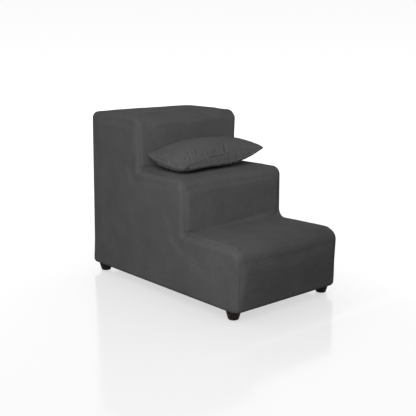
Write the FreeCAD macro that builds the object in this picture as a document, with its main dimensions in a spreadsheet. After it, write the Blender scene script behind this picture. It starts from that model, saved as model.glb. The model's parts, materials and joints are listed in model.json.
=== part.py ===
import FreeCAD, Part
import math
import os

import Sketcher
from FreeCAD import Placement, Rotation, Vector

# Upholstered pet stair: a plywood carcass with three steps, padded with foam, dressed in a
# stretched fabric cover, standing on four short feet, with a loose zipped cushion on its
# middle step. Millimetres. The origin is on the floor, under the middle of the stair; the
# steps climb towards +Y, so the lowest step faces -Y, and +X is to the right of it.

doc = FreeCAD.newDocument("PetStair")
sheet = doc.addObject("Spreadsheet::Sheet", "Sizes")
pieces = []

X_AXIS = Vector(1, 0, 0)
Y_AXIS = Vector(0, 1, 0)
Z_AXIS = Vector(0, 0, 1)
LEFT = -1
RIGHT = 1
SIDES = (("left", LEFT), ("right", RIGHT))
STEPS = ("1", "2", "top")


# ---------------------------------------------------------------- sizes and expressions

class Size:
    """A size as a number and as the expression that gives it from the sheet's cells."""

    def __init__(self, text, value):
        self.text = text
        self.value = value

    def join(self, sign, other, value):
        return Size(f"({self.text} {sign} {as_size(other).text})", value)

    def __add__(self, other):
        return self.join("+", other, self.value + as_size(other).value)

    def __sub__(self, other):
        return self.join("-", other, self.value - as_size(other).value)

    def __mul__(self, other):
        return self.join("*", other, self.value * as_size(other).value)

    def __truediv__(self, other):
        return self.join("/", other, self.value / as_size(other).value)

    def __neg__(self):
        return self * -1


def as_size(item):
    """A plain number as a size of its own."""
    return item if isinstance(item, Size) else Size(f"({item:g})", item)


def driving(alias, value, meaning):
    """A driving dimension: one row of the sheet, with its name, value and meaning."""
    driving.row += 1
    sheet.set(f"A{driving.row}", meaning)
    sheet.set(f"B{driving.row}", str(value))
    sheet.setAlias(f"B{driving.row}", alias)
    return Size(f"Sizes.{alias}", value)


driving.row = 0

width = driving("width", 412, "outside width over the cover")
rise_1 = driving("rise_1", 181, "height of the lowest step above the cover's bottom")
rise_2 = driving("rise_2", 162, "height of the middle step above the lowest")
rise_3 = driving("rise_3", 167, "height of the top step above the middle one")
going_1 = driving("going_1", 235, "depth of the lowest step")
going_2 = driving("going_2", 215, "depth of the middle step")
going_3 = driving("going_3", 260, "depth of the top step")
fabric = driving("fabric", 2, "thickness of the cover with its wadding")
hem = driving("hem", 32, "width of the cover turned in under the base")
nosing_radius = driving("nosing_radius", 28, "rounding of the upper steps' front edges")
low_nosing = driving("low_nosing", 34, "rounding of the lowest step's front edge")
crease_radius = driving("crease_radius", 8, "rounding where a riser meets the step below")
side_radius = driving("side_radius", 18, "rounding of the side edges")
back_top_radius = driving("back_top_radius", 20, "rounding of the top edge at the back")
bottom_radius = driving("bottom_radius", 10, "rounding of the bottom edges")
side_foam = driving("side_foam", 10, "foam on the sides")
back_foam = driving("back_foam", 8, "foam on the back")
riser_foam = driving("riser_foam", 15, "foam on the risers")
tread_foam = driving("tread_foam", 25, "foam on the treads")
board = driving("board", 12, "thickness of the plywood")
back_sheet = driving("back_sheet", 5, "thickness of the back board")
rail_width = driving("rail_width", 45, "width of the base rails")
rail_height = driving("rail_height", 18, "height of the base rails")
cleat = driving("cleat", 20, "section of the square cleats under the treads")
post = driving("post", 30, "section of the square posts in the back corners")
dust_sheet = driving("dust_sheet", 1, "thickness of the dust cover")
dust_inset = driving("dust_inset", 12, "distance of the dust cover from the outline")
foot_height = driving("foot_height", 24, "height of the feet")
foot_top = driving("foot_top", 21, "radius of a foot at its top")
foot_tip = driving("foot_tip", 15, "radius of a foot on the floor")
foot_side = driving("foot_side", 21, "distance of a foot's axis from the side")
foot_end = driving("foot_end", 38, "distance of a foot's axis from the front or back")
shank = driving("shank", 2, "radius of a wood screw's shank")
head = driving("head", 4, "radius of a wood screw's head")
short_screw = driving("short_screw", 28, "length of the short wood screws")
long_screw = driving("long_screw", 35, "length of the long wood screws")
nail_length = driving("nail_length", 25, "length of the back board's nails")
staple_width = driving("staple_width", 10, "width of a staple")
staple_leg = driving("staple_leg", 10, "length of a staple's legs")
staple_wire = driving("staple_wire", 0.8, "thickness of the staple wire")
cushion_length = driving("cushion_length", 336, "length of the cushion, tip to tip")
cushion_depth = driving("cushion_depth", 180, "depth of the cushion, tip to tip")
cushion_crown = driving("cushion_crown", 50, "height of the cushion above its seam")
cushion_sink = driving("cushion_sink", 50, "depth of the cushion under its seam, flattened")
cushion_belly = driving("cushion_belly", 56, "depth that the underside would have in the air")
cushion_cloth = driving("cushion_cloth", 1.5, "thickness of the cushion's cover")
seam_ends = driving("seam_ends", 12, "seam allowance at the ends of the cushion")
seam_sides = driving("seam_sides", 8, "seam allowance along the sides of the cushion")
seam_lip = driving("seam_lip", 1.2, "half the thickness of the cushion's seam")
cushion_x = driving("cushion_x", -12, "place of the cushion's middle across the stair")
cushion_y = driving("cushion_y", -10, "place of the cushion's middle along the stair")
cushion_gap = driving("cushion_gap", 0.4, "gap between the cushion and the step under it")
cushion_turn = driving("cushion_turn", 3.3, "turn of the cushion on its step, in degrees")
zip_half = driving("zip_half", 90, "half the length of the zip")
zip_pitch = driving("zip_pitch", 3, "distance between two teeth of one row")

tops = [foot_height + dust_sheet]
for rise in (rise_1, rise_2, rise_3):
    tops.append(tops[-1] + rise)
base = tops[0]
depth = going_1 + going_2 + going_3
lines = [-(depth / 2)]
for going in (going_1, going_2, going_3):
    lines.append(lines[-1] + going)
front = lines[0]
back = lines[3]
half = width / 2

panel_out = half - fabric - side_foam
panel_in = panel_out - board
riser_front = fabric + riser_foam
riser_back = riser_front + board
tread_top = fabric + tread_foam
tread_under = tread_top + board
carcass_back = back - fabric - back_foam - back_sheet
rail_low = base + fabric
rail_high = rail_low + rail_height


# ---------------------------------------------------------------- building blocks

def bind(item, prop, size):
    """Ties a property to the sheet."""
    item.setExpression(prop, as_size(size).text)


def piece(item, label):
    """Makes an object a sub-part: its label names its file."""
    item.Label = label
    pieces.append(item)
    return item


def box(name, low, high):
    """A block between its lowest and its highest corner."""
    block = doc.addObject("Part::Box", name)
    for prop, axis, start, end in zip(("Length", "Width", "Height"), "xyz", low, high):
        bind(block, prop, as_size(end) - start)
        bind(block, f"Placement.Base.{axis}", start)
    return block


def across(side, inner, outer):
    """Lowest and highest x of what lies between two distances from the middle plane."""
    return (inner, outer) if side == RIGHT else (-outer, -inner)


def cut(name, base_item, *tools):
    """A base less each of its tools."""
    for number, tool in enumerate(tools, 1):
        less = doc.addObject("Part::Cut", f"{name}_cut_{number}")
        less.Base = base_item
        less.Tool = tool
        base_item = less
    return base_item


def common(name, base_item, tool):
    """What a base and a tool share."""
    shared = doc.addObject("Part::Common", f"{name}_common")
    shared.Base = base_item
    shared.Tool = tool
    return shared


def fuse(name, items):
    """Several touching solids as one."""
    joined = doc.addObject("Part::MultiFuse", f"{name}_fuse")
    joined.Shapes = items
    joined.Refine = True
    return joined


def new_sketch(body, plane, name):
    """An empty sketch on one of a body's own origin planes."""
    sketch = body.newObject("Sketcher::SketchObject", name)
    origin_plane = next(item for item in body.Origin.OriginFeatures if item.Role == plane)
    sketch.AttachmentSupport = [(origin_plane, "")]
    sketch.MapMode = "FlatFace"
    return sketch


def hold_corner(sketch, index, sizes):
    """Holds the start of a line at its distances from the sketch's origin."""
    for kind, axis, size in zip(("DistanceX", "DistanceY"), (-2, -1), sizes):
        size = as_size(size)
        if size.value == 0:
            sketch.addConstraint(Sketcher.Constraint("PointOnObject", index, 1, axis))
            continue
        rule = Sketcher.Constraint(kind, -1, 1, index, 1, size.value)
        number = sketch.addConstraint(rule)
        sketch.setExpression(f"Constraints[{number}]", size.text)


def draw_polygon(sketch, points):
    """A closed outline of straight lines with every corner held."""
    corners = [Vector(as_size(u).value, as_size(v).value, 0) for u, v in points]
    count = len(corners)
    for index, corner in enumerate(corners):
        sketch.addGeometry(Part.LineSegment(corner, corners[(index + 1) % count]))
    for index in range(count):
        follows = (index + 1) % count
        sketch.addConstraint(Sketcher.Constraint("Coincident", index, 2, follows, 1))
    for index, sizes in enumerate(points):
        hold_corner(sketch, index, sizes)


def rectangle(low, high):
    """Corners of a rectangle, in order round it."""
    return [(low[0], low[1]), (high[0], low[1]), (high[0], high[1]), (low[0], high[1])]


def padded_profile(name, points, thickness, start=None):
    """A profile in the Y-Z plane made solid along X, from a start or about the middle."""
    body = doc.addObject("PartDesign::Body", f"{name}_body")
    sketch = new_sketch(body, "YZ_Plane", f"{name}_profile")
    draw_polygon(sketch, points)
    pad = body.newObject("PartDesign::Pad", f"{name}_pad")
    pad.Profile = sketch
    bind(pad, "Length", thickness)
    if start is None:
        pad.SideType = "Symmetric"
    else:
        bind(body, "Placement.Base.x", start)
    return body


def turned(name, points):
    """A profile in the X-Z plane turned about the Z axis."""
    body = doc.addObject("PartDesign::Body", f"{name}_body")
    sketch = new_sketch(body, "XZ_Plane", f"{name}_profile")
    draw_polygon(sketch, points)
    revolution = body.newObject("PartDesign::Revolution", f"{name}_turned")
    revolution.Profile = sketch
    revolution.ReferenceAxis = (sketch, ["V_Axis"])
    revolution.Angle = 360
    return body


def on_plane(edge, **planes):
    """Whether an edge lies wholly at the given coordinates."""
    bounds = edge.BoundBox
    ends = {
        "x": (bounds.XMin, bounds.XMax),
        "y": (bounds.YMin, bounds.YMax),
        "z": (bounds.ZMin, bounds.ZMax),
    }
    close = 0.01
    return all(abs(end - size.value) < close for axis, size in planes.items() for end in ends[axis])


def round_edges(body, name, radius, chosen):
    """Rounds the edges of a body so far that a test picks out."""
    doc.recompute()
    tip = body.Tip
    names = [f"Edge{number}" for number, edge in enumerate(tip.Shape.Edges, 1) if chosen(edge)]
    rounding = body.newObject("PartDesign::Fillet", f"{body.Name}_{name}")
    rounding.Base = (tip, names)
    bind(rounding, "Radius", radius)


def towards(direction):
    """The turn that points something made downwards along a direction."""
    return Rotation(-Z_AXIS, direction)


def copies(label, pattern, places):
    """Copies of one small piece, each at a position and a turn, as one sub-part."""
    links = []
    for number, (position, turn) in enumerate(places, 1):
        link = doc.addObject("App::Link", f"{label}_{number}")
        link.LinkedObject = pattern
        link.Placement = Placement(Vector(), turn)
        for axis, size in zip("xyz", position):
            bind(link, f"Placement.Base.{axis}", size)
        links.append(link)
    group = doc.addObject("Part::Compound", f"{label}_group")
    group.Links = links
    return piece(group, label)


# ---------------------------------------------------------------- stair block and cover

def stair_corners(line_list, top_list, bottom):
    """Corners of a three-step profile, from the foot of its front round to its back."""
    corners = [(line_list[0], bottom)]
    for step, top in enumerate(top_list):
        corners.append((line_list[step], top))
        corners.append((line_list[step + 1], top))
    corners.append((line_list[3], bottom))
    return corners


def stair_block(name, inset):
    """The rounded stair, drawn in from its outside by an inset."""
    at_line = [lines[0] + inset, lines[1] + inset, lines[2] + inset, lines[3] - inset]
    at_top = [top - inset for top in tops[1:]]
    bottom = base + inset
    side = half - inset
    body = padded_profile(name, stair_corners(at_line, at_top, bottom), side * 2)
    noses = list(zip(at_line[1:3], at_top[1:]))
    creases = list(zip(at_line[1:3], at_top[:2]))
    round_edges(body, "noses", nosing_radius - inset,
                lambda edge: any(on_plane(edge, y=y, z=z) for y, z in noses))
    round_edges(body, "low_nose", low_nosing - inset,
                lambda edge: on_plane(edge, y=at_line[0], z=at_top[0]))
    round_edges(body, "creases", crease_radius + inset,
                lambda edge: any(on_plane(edge, y=y, z=z) for y, z in creases))
    round_edges(body, "back_top", back_top_radius - inset,
                lambda edge: on_plane(edge, y=at_line[3], z=at_top[2]))
    round_edges(body, "sides", side_radius - inset,
                lambda edge: (on_plane(edge, x=side) or on_plane(edge, x=-side))
                and not on_plane(edge, z=bottom))
    round_edges(body, "bottom", bottom_radius - inset,
                lambda edge: on_plane(edge, z=bottom))
    return body


outside = stair_block("outside", as_size(0))
inside = stair_block("inside", fabric)


def wood_screw(name, length):
    """A countersunk screw with a cross recess, head up, its top at the origin."""
    tip = shank * 2
    profile = [(0, 0), (head, 0), (shank, shank - head), (shank, tip - length), (0, -length)]
    body = turned(name, profile)
    doc.recompute()
    full = body.Shape.Volume
    arm = head * 0.6
    slot = head * 0.12
    cross = [(-arm, -slot), (-slot, -slot), (-slot, -arm), (slot, -arm), (slot, -slot), (arm, -slot),
             (arm, slot), (slot, slot), (slot, arm), (-slot, arm), (-slot, slot), (-arm, slot)]
    sketch = new_sketch(body, "XY_Plane", f"{name}_cross")
    draw_polygon(sketch, cross)
    pocket = body.newObject("PartDesign::Pocket", f"{name}_recess")
    pocket.Profile = sketch
    bind(pocket, "Length", head * 0.4)
    doc.recompute()
    if body.Shape.Volume >= full:
        raise RuntimeError(f"{name}: the cross recess cuts nothing")
    return body


short_wood_screw = wood_screw("short_wood_screw", short_screw)
long_wood_screw = wood_screw("long_wood_screw", long_screw)

NAIL_HEAD = 2
NAIL_SHANK = 0.9
NAIL_HEAD_DEPTH = 0.8
nail = turned("nail", [
    (0, 0), (NAIL_HEAD, 0), (NAIL_HEAD, -NAIL_HEAD_DEPTH), (NAIL_SHANK, -NAIL_HEAD_DEPTH),
    (NAIL_SHANK, as_size(2) - nail_length), (0, -nail_length),
])


def staple_pattern():
    """A staple with its legs up and the underside of its crown at the origin."""
    reach = staple_width / 2
    thick = staple_wire / 2
    crown = box("staple_crown", (-reach, -thick, 0), (reach, thick, staple_wire))
    legs = [box(f"staple_leg_{side}", (start, -thick, 0), (start + staple_wire, thick, staple_leg))
            for side, start in enumerate((-reach, reach - staple_wire))]
    return fuse("staple", [crown] + legs)


staple = staple_pattern()


# ---------------------------------------------------------------- fasteners in their places

cleat_low = [line + riser_back + 8 for line in lines[:3]]
cleat_high = [lines[1] + riser_back - 8, lines[2] + riser_back - 8, carcass_back - post - 8]
cleat_middle = panel_in - cleat / 2
panel_middle = panel_in + board / 2
NAIL_ROWS = 5
nail_low = rail_high + 30
nail_pitch = (tops[3] - tread_under - 30 - nail_low) / (NAIL_ROWS - 1)
rail_screw_end = rail_width * 2.5

tread_screw_places = []
cleat_screw_places = []
riser_screw_places = []
for step in range(3):
    riser_low = rail_high if step == 0 else tops[step] - tread_top
    riser_high = tops[step + 1] - tread_under
    for _, side in SIDES:
        outwards = X_AXIS * side
        for near, far in ((cleat_low[step] + 24, cleat_low[step] + 48),
                          (cleat_high[step] - 24, cleat_high[step] - 48)):
            tread_screw_places.append(
                ((cleat_middle * side, near, tops[step + 1] - tread_top), towards(-Z_AXIS)))
            cleat_screw_places.append(
                (((panel_in - cleat) * side, far, riser_high - cleat / 2), towards(outwards)))
        for height in (riser_low + 26, riser_high - 26):
            riser_screw_places.append(
                ((panel_middle * side, lines[step] + riser_front, height), towards(Y_AXIS)))

rail_screw_places = []
post_screw_places = []
nail_places = []
for _, side in SIDES:
    for along in (front + rail_screw_end, as_size(0), back - rail_screw_end):
        rail_screw_places.append(((panel_middle * side, along, rail_low), towards(Z_AXIS)))
    rail_screw_places.append(
        ((width / 5 * side, front + riser_front + board / 2, rail_low), towards(Z_AXIS)))
    for row in range(NAIL_ROWS):
        nail_places.append(((panel_middle * side, carcass_back + back_sheet,
                             nail_low + nail_pitch * row), towards(-Y_AXIS)))
    for row in range(NAIL_ROWS - 1):
        post_screw_places.append(((panel_out * side, carcass_back - post / 2,
                                   nail_low + nail_pitch * (row + 0.5)), towards(X_AXIS * -side)))
for column in (-1, 0, 1):
    for height in (rail_low + rail_height / 2, tops[3] - tread_top - board / 2):
        nail_places.append(
            ((width / 4 * column, carcass_back + back_sheet, height), towards(-Y_AXIS)))

tread_screws = copies("tread_screws", short_wood_screw, tread_screw_places)
cleat_screws = copies("cleat_screws", short_wood_screw, cleat_screw_places)
riser_screws = copies("riser_screws", long_wood_screw, riser_screw_places)
rail_screws = copies("rail_screws", long_wood_screw, rail_screw_places)
post_screws = copies("post_screws", long_wood_screw, post_screw_places)
back_board_nails = copies("back_board_nails", nail, nail_places)

FOOT_RECESS = 9
foot_x = half - foot_side
foot_y = back - foot_end
FOOT_PLACES = (("front_left", LEFT, -1), ("front_right", RIGHT, -1),
               ("rear_left", LEFT, 1), ("rear_right", RIGHT, 1))
foot_screws = copies("foot_screws", long_wood_screw, [
    ((foot_x * side, foot_y * end, FOOT_RECESS), towards(Z_AXIS)) for _, side, end in FOOT_PLACES])

staple_height = foot_height - staple_wire
lengthways = Rotation(Z_AXIS, 90)
staple_places = []
for side in (LEFT, RIGHT):
    for share in (-0.45, -0.15, 0.15, 0.45):
        staple_places.append(
            (((half - 20) * side, depth * share * 0.6, staple_height), lengthways))
    for share in (-0.31, -0.1, 0.1, 0.31):
        staple_places.append(((width * share, (back - 20) * side, staple_height), Rotation()))
cover_staples = copies("cover_staples", staple, staple_places)


# ---------------------------------------------------------------- carcass

rail_ends = (front + riser_front + rail_width, carcass_back - rail_width)
for name, side in SIDES:
    low_x, high_x = across(side, panel_in, panel_out)
    corners = stair_corners([lines[0] + riser_back, lines[1] + riser_back, lines[2] + riser_back,
                             carcass_back], [top - tread_under for top in tops[1:]], rail_high)
    blank = padded_profile(f"panel_{name}", corners, board, low_x)
    piece(cut(f"panel_{name}", blank, cleat_screws, riser_screws, rail_screws, post_screws,
              back_board_nails), f"side_panel_{name}")

    low_x, high_x = across(side, panel_out - rail_width, panel_out)
    blank = box(f"rail_{name}", (low_x, rail_ends[0], rail_low), (high_x, rail_ends[1], rail_high))
    piece(cut(f"rail_{name}", blank, rail_screws, foot_screws, cover_staples), f"base_rail_{name}")

    low_x, high_x = across(side, panel_in - post, panel_in)
    blank = box(f"post_{name}", (low_x, carcass_back - post, rail_high),
                (high_x, carcass_back, tops[3] - tread_under))
    piece(cut(f"post_{name}", blank, post_screws), f"rear_post_{name}")

    low_x, high_x = across(side, panel_in - cleat, panel_in)
    for step, step_name in enumerate(STEPS):
        cleat_top = tops[step + 1] - tread_under
        blank = box(f"cleat_{step_name}_{name}", (low_x, cleat_low[step], cleat_top - cleat),
                    (high_x, cleat_high[step], cleat_top))
        piece(cut(f"cleat_{step_name}_{name}", blank, tread_screws, cleat_screws),
              f"tread_cleat_{step_name}_{name}")

for name, low_y, high_y in (("front", front + riser_front, rail_ends[0]),
                            ("back", rail_ends[1], carcass_back)):
    blank = box(f"rail_{name}", (-panel_out, low_y, rail_low), (panel_out, high_y, rail_high))
    piece(cut(f"rail_{name}", blank, rail_screws, foot_screws, cover_staples, back_board_nails),
          f"base_rail_{name}")

for step, step_name in enumerate(STEPS):
    top = tops[step + 1]
    board_back = carcass_back if step_name == "top" else lines[step + 1] + riser_back
    blank = box(f"tread_{step_name}", (-panel_out, lines[step] + riser_front, top - tread_under),
                (panel_out, board_back, top - tread_top))
    piece(cut(f"tread_{step_name}", blank, tread_screws, back_board_nails),
          f"tread_board_{step_name}")

    foot_of_riser = rail_high if step == 0 else tops[step] - tread_top
    blank = box(f"riser_{step_name}", (-panel_out, lines[step] + riser_front, foot_of_riser),
                (panel_out, lines[step] + riser_back, top - tread_under))
    piece(cut(f"riser_{step_name}", blank, riser_screws, rail_screws),
          f"riser_board_{step_name}")

blank = box("back_blank", (-panel_out, carcass_back, rail_low),
            (panel_out, carcass_back + back_sheet, tops[3] - tread_top))
piece(cut("back", blank, back_board_nails), "back_board")


# ---------------------------------------------------------------- foam

def foam(name, low, high):
    """The part of the padded block inside the cover that lies between two corners."""
    piece(common(f"foam_{name}", inside, box(f"foam_{name}_limits", low, high)), f"foam_{name}")


for name, side in SIDES:
    low_x, high_x = across(side, panel_out, half)
    foam(f"side_{name}", (low_x, front, base), (high_x, back, tops[3]))
for step, step_name in enumerate(STEPS):
    top = tops[step + 1]
    slab_back = back if step_name == "top" else lines[step + 1] + riser_front
    foam(f"tread_{step_name}", (-panel_out, lines[step], top - tread_top),
         (panel_out, slab_back, top - fabric))
    foot_of_foam = base if step == 0 else tops[step] - fabric
    foam(f"riser_{step_name}", (-panel_out, lines[step] + fabric, foot_of_foam),
         (panel_out, lines[step] + riser_front, top - tread_top))
foam("back", (-panel_out, carcass_back + back_sheet, base),
     (panel_out, back, tops[3] - tread_top))


# ---------------------------------------------------------------- cover and dust cover

SEAM_IN = 8
side_seam = half - SEAM_IN
back_seam = back - SEAM_IN - 4
opening = box("cover_opening", (hem - half, front + hem, base - 1),
              (half - hem, back - hem, base + fabric * 2))
skin = cut("skin", outside, inside, opening, foot_screws, cover_staples)
for name, side in SIDES:
    low_x, high_x = across(side, side_seam, half + 1)
    limits = box(f"cover_side_{name}_limits", (low_x, front - 1, base - 1),
                 (high_x, back + 1, tops[3] + 1))
    piece(common(f"cover_side_{name}", skin, limits), f"cover_side_{name}")
for name, low_y, high_y in (("steps", front - 1, back_seam), ("back", back_seam, back + 1)):
    limits = box(f"cover_{name}_limits", (-side_seam, low_y, base - 1),
                 (side_seam, high_y, tops[3] + 1))
    piece(common(f"cover_{name}", skin, limits), f"cover_{name}")

blank = box("dust_blank", (dust_inset - half, front + dust_inset, foot_height),
            (half - dust_inset, back - dust_inset, base))
piece(cut("dust", blank, foot_screws, cover_staples), "dust_cover")


# ---------------------------------------------------------------- feet

def foot(name, side, end):
    """A tapered foot, hollow from below for the head of its screw."""
    rim = foot_height - 3
    recess = head + 1
    body = turned(f"foot_{name}", [
        (0, foot_height), (foot_top, foot_height), (foot_top, rim), (foot_tip, 0),
        (recess, 0), (recess, FOOT_RECESS), (0, FOOT_RECESS)])
    round_edges(body, "tip", as_size(4),
                lambda edge: on_plane(edge, z=as_size(0)) and edge.BoundBox.XMax > recess.value + 1)
    bind(body, "Placement.Base.x", foot_x * side)
    bind(body, "Placement.Base.y", foot_y * end)
    piece(cut(f"foot_{name}", body, foot_screws), f"foot_{name}")


for name, side, end in FOOT_PLACES:
    foot(name, side, end)


# ---------------------------------------------------------------- cushion

def place_on_step(item, label):
    """Moves a piece made about the cushion's own middle to its place on the middle step."""
    item.Placement = Placement(Vector(), Rotation(Z_AXIS, cushion_turn.value))
    bind(item, "Placement.Rotation.Angle", cushion_turn)
    bind(item, "Placement.Base.x", cushion_x)
    bind(item, "Placement.Base.y", cushion_y)
    bind(item, "Placement.Base.z", tops[2] + cushion_gap + cushion_sink)
    return piece(item, label)


EDGE_SHARE = 0.25
END_PULL = 0.035
SIDE_PULL = 0.06
PILLOW_ROWS = 9


def spread(share):
    """Place of a pillow's grid line between its middle, 0, and its seam, 1."""
    return (1 - EDGE_SHARE) * math.sin(math.pi / 2 * share) + EDGE_SHARE * share


def pillow_half(name, length, depth_over, height, lip):
    """Half a pillow over its flat seam, its edges pulled in between the corners.

    The cloth ends in an upright edge as high as the lip, all round the seam.
    """
    shares = [index / PILLOW_ROWS for index in range(-PILLOW_ROWS, PILLOW_ROWS + 1)]
    grid = []
    for s in shares:
        row = []
        for t in shares:
            x = length.value / 2 * spread(s) * (1 - END_PULL * (1 - t * t))
            y = depth_over.value / 2 * spread(t) * (1 - SIDE_PULL * (1 - s * s))
            swell = math.cos(math.pi / 2 * s) * math.cos(math.pi / 2 * t)
            row.append(Vector(x, y, lip.value + (height - lip).value * swell))
        grid.append(row)
    surface = Part.BSplineSurface()
    surface.interpolate(grid)
    crown = surface.toShape()
    walls = crown.OuterWire.extrude(Z_AXIS * -lip.value)
    close = 0.001
    seam_line = [edge for edge in walls.Edges if abs(edge.BoundBox.ZMax) < close]
    seam_face = Part.Face(Part.Wire(Part.__sortEdges__(seam_line)))
    item = doc.addObject("Part::Feature", name)
    item.Shape = Part.Solid(Part.Shell([crown] + walls.Faces + [seam_face]))
    return item


def under(item):
    """A pillow half turned over to hang below its seam."""
    mirrored = doc.addObject("Part::Mirroring", f"{item.Name}_under")
    mirrored.Source = item
    mirrored.Normal = Z_AXIS
    return mirrored


def bed(name, level):
    """What the step flattens off the cushion's underside, up to a level."""
    reach = cushion_length
    return box(name, (-reach, -reach, -reach), (reach, reach, -level))


fill_length = cushion_length - seam_ends * 2
fill_depth = cushion_depth - seam_sides * 2
fill_lip = seam_lip / 3
crown_out = pillow_half("crown_out", cushion_length, cushion_depth, cushion_crown, seam_lip)
belly_out = pillow_half("belly_out", cushion_length, cushion_depth, cushion_belly, seam_lip)
crown_in = pillow_half("crown_in", fill_length, fill_depth, cushion_crown - cushion_cloth, fill_lip)
belly_in = pillow_half("belly_in", fill_length, fill_depth, cushion_belly - cushion_cloth, fill_lip)
belly_flat = cut("belly_flat", under(belly_out), bed("bed_out", cushion_sink))
fill_flat = cut("fill_flat", under(belly_in), bed("bed_in", cushion_sink - cushion_cloth))

ZIP_Y = 82.0
SLOT_DEPTH = ZIP_Y - 3
SLOT_HEIGHT = 6.5
slot_half = zip_half + 2
zip_slot = box("zip_slot", (-slot_half, SLOT_DEPTH, -SLOT_HEIGHT),
               (slot_half, cushion_depth, SLOT_HEIGHT))
place_on_step(cut("crown_cover", crown_out, crown_in, zip_slot), "cushion_cover_top")
place_on_step(cut("belly_cover", belly_flat, fill_flat, zip_slot), "cushion_cover_bottom")
place_on_step(fuse("filling", [crown_in, fill_flat]), "cushion_filling")


# ---------------------------------------------------------------- zip in the cushion's back seam

# Depths are from the cushion's middle; the tapes' inner face is at ZIP_Y. Heights are from the seam.
TAPE_LOW = 1.2
TAPE_Y = (ZIP_Y, ZIP_Y + 0.8)
TOOTH_Y = (ZIP_Y - 0.4, ZIP_Y + 2.1)
TOOTH_Z = (-1.0, 2.4)
TOOTH_WIDTH = 1.4
END_STOP = 10
tooth_count = int(2 * (zip_half.value - END_STOP) / zip_pitch.value)


def pad_between(body, name, points, face_y, thickness):
    """A pad from one depth to another: the sketch faces -Y, so it is moved and grown back."""
    sketch = new_sketch(body, "XZ_Plane", f"{name}_sketch")
    sketch.AttachmentOffset = Placement(Vector(0, 0, -face_y), Rotation())
    draw_polygon(sketch, points)
    pad = body.newObject("PartDesign::Pad", f"{name}_pad")
    pad.Profile = sketch
    pad.Length = thickness
    return pad, sketch


def zip_tape(name, flip, shift):
    """Half a zip: a tape with a row of teeth, the lower half flipped and shifted by half a pitch."""
    body = doc.addObject("PartDesign::Body", f"{name}_body")

    def heights(low, high):
        return (low, high) if flip == 1 else (-high, -low)

    low_z, high_z = heights(TAPE_LOW, SLOT_HEIGHT)
    pad_between(body, f"{name}_strip", rectangle((-zip_half, low_z), (zip_half, high_z)),
                TAPE_Y[1], TAPE_Y[1] - TAPE_Y[0])
    low_z, high_z = heights(*TOOTH_Z)
    first = as_size(END_STOP + shift) - zip_half
    tooth, sketch = pad_between(
        body, f"{name}_tooth", rectangle((first, low_z), (first + TOOTH_WIDTH, high_z)),
        TOOTH_Y[1], TOOTH_Y[1] - TOOTH_Y[0])
    doc.recompute()
    row = body.newObject("PartDesign::LinearPattern", f"{name}_row")
    row.Originals = [tooth]
    row.Direction = (sketch, ["H_Axis"])
    row.Occurrences = tooth_count
    bind(row, "Length", zip_pitch * (tooth_count - 1))
    body.Tip = row
    place_on_step(body, name)


zip_tape("zip_tape_upper", 1, 0)
zip_tape("zip_tape_lower", -1, zip_pitch.value / 2)

SLIDER_X = (-90.0, -81.6)
PLATE_HALF = 4.2
LIP = 0.9
OUTER_PLATE = (ZIP_Y + 2.5, ZIP_Y + 3.6)
INNER_PLATE = (ZIP_Y - 2.0, ZIP_Y - 0.8)
LIP_Y = ZIP_Y + 1.2
WEDGE_HALF = 1.0
WEDGE_LENGTH = 3.0
ARCH_X = (-87.6, -84.0)
ARCH_HALF = 0.8
ARCH_TOP = ZIP_Y + 5.9
ARCH_WALL = 0.8
PIN_X = -85.8
PIN_Y = ZIP_Y + 4.35
PIN_RADIUS = 0.5
PULL_HALF = 2.4
PULL_REACH = 9.0
PULL_START = 2.9
PULL_THICK = 0.9
ARM_INNER = 1.2


def zip_slider():
    """Two plates joined by a wedge that parts the teeth, with lips and an arch for the pull."""
    start, end = SLIDER_X
    lip = PLATE_HALF - LIP
    bar = ARCH_TOP - ARCH_WALL
    solids = [
        box("slider_outer", (start, OUTER_PLATE[0], -PLATE_HALF), (end, OUTER_PLATE[1], PLATE_HALF)),
        box("slider_inner", (start, INNER_PLATE[0], -PLATE_HALF), (end, INNER_PLATE[1], PLATE_HALF)),
        box("slider_wedge", (start, INNER_PLATE[1], -WEDGE_HALF),
            (start + WEDGE_LENGTH, OUTER_PLATE[0], WEDGE_HALF)),
        box("slider_lip_up", (start, LIP_Y, lip), (end, OUTER_PLATE[0], PLATE_HALF)),
        box("slider_lip_down", (start, LIP_Y, -PLATE_HALF), (end, OUTER_PLATE[0], -lip)),
        box("arch_left", (ARCH_X[0], OUTER_PLATE[1], -ARCH_HALF),
            (ARCH_X[0] + ARCH_WALL, ARCH_TOP, ARCH_HALF)),
        box("arch_right", (ARCH_X[1] - ARCH_WALL, OUTER_PLATE[1], -ARCH_HALF),
            (ARCH_X[1], ARCH_TOP, ARCH_HALF)),
        box("arch_bar", (ARCH_X[0], bar, -ARCH_HALF), (ARCH_X[1], ARCH_TOP, ARCH_HALF)),
    ]
    place_on_step(fuse("zip_slider", solids), "zip_slider")


def zip_pull():
    """A tab on two arms whose pin turns under the slider's arch."""
    pin = doc.addObject("Part::Cylinder", "pull_pin")
    pin.Radius = PIN_RADIUS
    pin.Height = PULL_HALF * 2
    pin.Placement = Placement(Vector(PIN_X, PIN_Y, -PULL_HALF), Rotation())
    low_y = PIN_Y - PULL_THICK / 2
    high_y = PIN_Y + PULL_THICK / 2
    neck = PIN_X + PULL_START
    solids = [
        pin,
        box("pull_arm_up", (PIN_X, low_y, ARM_INNER), (neck, high_y, PULL_HALF)),
        box("pull_arm_down", (PIN_X, low_y, -PULL_HALF), (neck, high_y, -ARM_INNER)),
        box("pull_tab", (neck, low_y, -PULL_HALF), (PIN_X + PULL_REACH, high_y, PULL_HALF)),
    ]
    place_on_step(fuse("zip_pull", solids), "zip_pull")


zip_slider()
zip_pull()


# ---------------------------------------------------------------- checks and files

doc.recompute()
for item in doc.Objects:
    if "Invalid" in item.State or "Error" in item.State:
        raise RuntimeError(f"{item.Name} did not recompute: {item.State}")

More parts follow.
